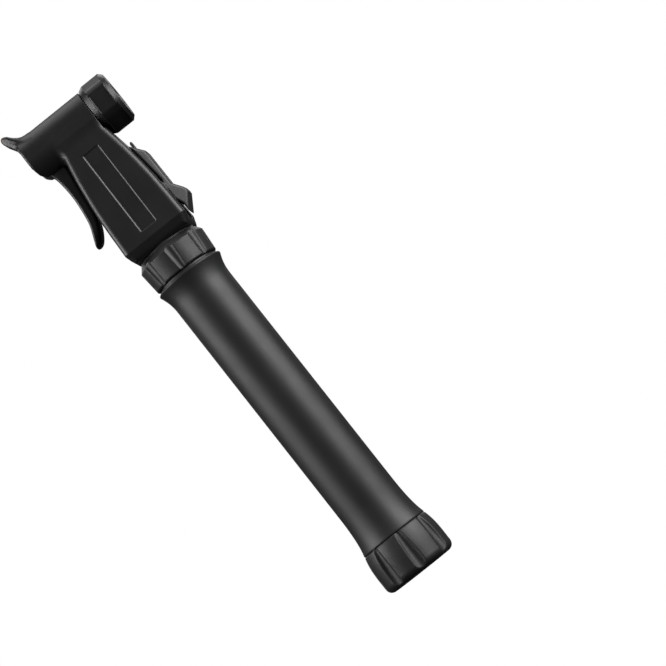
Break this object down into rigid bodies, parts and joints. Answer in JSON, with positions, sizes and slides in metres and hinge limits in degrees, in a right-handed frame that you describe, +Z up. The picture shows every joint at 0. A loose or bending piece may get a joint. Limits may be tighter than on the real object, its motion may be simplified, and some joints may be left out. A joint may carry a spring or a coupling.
{
  "type": "mini pump",
  "caption": "Slim hand pump for bicycle tyres: scooped end cap, sliding sleeve over a tube, tapered head with valve nut, lock lever, thumb horn and side clip.",
  "frame": {"origin": "centre of the flat bottom of the end cap, where the pump stands", "axes": "+Z up along the barrel to the head, +X towards the valve nut, -X towards the lock lever, -Y out of the head's panelled front"},
  "size_m": [0.0391, 0.0258, 0.1915],
  "materials": {
    "soft_grip": "smooth matte, slightly soft",
    "cap_plastic": "fine-grained matte",
    "head_plastic": "satin moulded",
    "nut_plastic": "satin moulded",
    "lever_plastic": "satin moulded",
    "clip_plastic": "satin moulded",
    "inner_plastic": "smooth bearing plastic",
    "tube_alloy": "clear anodised, satin",
    "steel": "plated",
    "brass": "turned",
    "black_rubber": "matte"
  },
  "bodies": {
    "handle": {"handle_sleeve": "soft_grip", "end_cap": "cap_plastic", "cap_plug": "cap_plastic", "rod_screw": "steel", "rod_washer": "steel", "piston_rod": "tube_alloy", "rod_bumper": "black_rubber", "piston": "inner_plastic", "piston_seal": "black_rubber", "sleeve_guide": "cap_plastic"},
    "head": {"head_body": "head_plastic", "cylinder_tube": "tube_alloy", "tube_foot_guide": "inner_plastic", "tube_o_ring": "black_rubber", "collar": "cap_plastic", "valve_seat": "brass", "check_spring": "steel", "valve_grommet": "black_rubber", "lever_pin": "steel", "clip_pin": "steel", "clip_spring": "steel"},
    "check_valve": {"check_poppet": "black_rubber"},
    "plunger": {"plunger": "inner_plastic", "plunger_o_rings": "black_rubber", "pin_insert": "brass"},
    "washer": {"grommet_washer": "inner_plastic"},
    "nut": {"chuck_nut": "nut_plastic"},
    "lever": {"lock_lever": "lever_plastic"},
    "clip": {"side_clip": "clip_plastic"}
  },
  "joints": [
    {"name": "pump_stroke", "type": "slide", "parent": "handle", "child": "head", "axis": [0, 0, 1], "range_m": [0, 0.09]},
    {"name": "lever_swing", "type": "hinge", "parent": "head", "child": "lever", "pos_m": [-0.0132, 0, 0.1791], "axis": [0, 1, 0], "range_deg": [0, 90]},
    {"name": "plunger_travel", "type": "slide", "parent": "head", "child": "plunger", "axis": [1, 0, 0], "range_m": [0, 0.002], "deforming": ["valve_grommet"]},
    {"name": "nut_advance", "type": "slide", "parent": "head", "child": "washer", "axis": [1, 0, 0], "range_m": [0, 0.00375]},
    {"name": "nut_turn", "type": "hinge", "parent": "washer", "child": "nut", "pos_m": [0.013, 0, 0.1791], "axis": [1, 0, 0], "range_deg": [0, 900]},
    {"name": "check_valve_lift", "type": "slide", "parent": "head", "child": "check_valve", "axis": [0, 0, 1], "range_m": [0, 0.0012], "stiffness_N_per_m": 120, "springref_m": -0.001, "deforming": ["check_spring"]},
    {"name": "clip_swing", "type": "hinge", "parent": "head", "child": "clip", "pos_m": [0.0107, 0, 0.1451], "axis": [0, 1, 0], "range_deg": [0, 7], "stiffness_Nm_per_rad": 0.05, "springref_deg": -17.19}
  ],
  "couplings": [
    {"joint": "plunger_travel", "follows": "lever_swing", "m_per_rad": 0.00127},
    {"joint": "nut_advance", "follows": "nut_turn", "m_per_rad": 0.0002387}
  ]
}
